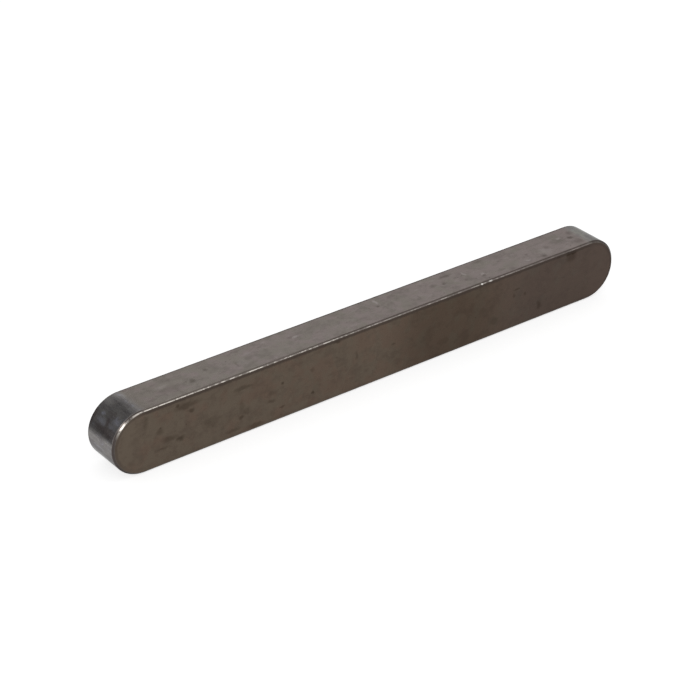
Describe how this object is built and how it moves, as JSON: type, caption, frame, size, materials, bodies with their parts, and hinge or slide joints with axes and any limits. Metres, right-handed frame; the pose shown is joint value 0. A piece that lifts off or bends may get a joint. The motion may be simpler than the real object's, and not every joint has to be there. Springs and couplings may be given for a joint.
{
  "type": "parallel key",
  "caption": "Round-ended parallel key: a plain steel bar with chamfered rims that locks a hub to a shaft through its two flanks.",
  "frame": {"origin": "centre of the lower flank, the long narrow face that the key lies on", "axes": "+X along the key's length, +Z across its width to the upper flank, -Y out of the crown face and +Y out of the base face, through its height"},
  "size_m": [0.11, 0.008, 0.012],
  "materials": {
    "key_steel": "bright-drawn key steel with a thin brownish oil and oxide film, softly glossy, with bright rubbed rims"
  },
  "bodies": {
    "root": {"parallel_key": "key_steel"}
  },
  "joints": []
}
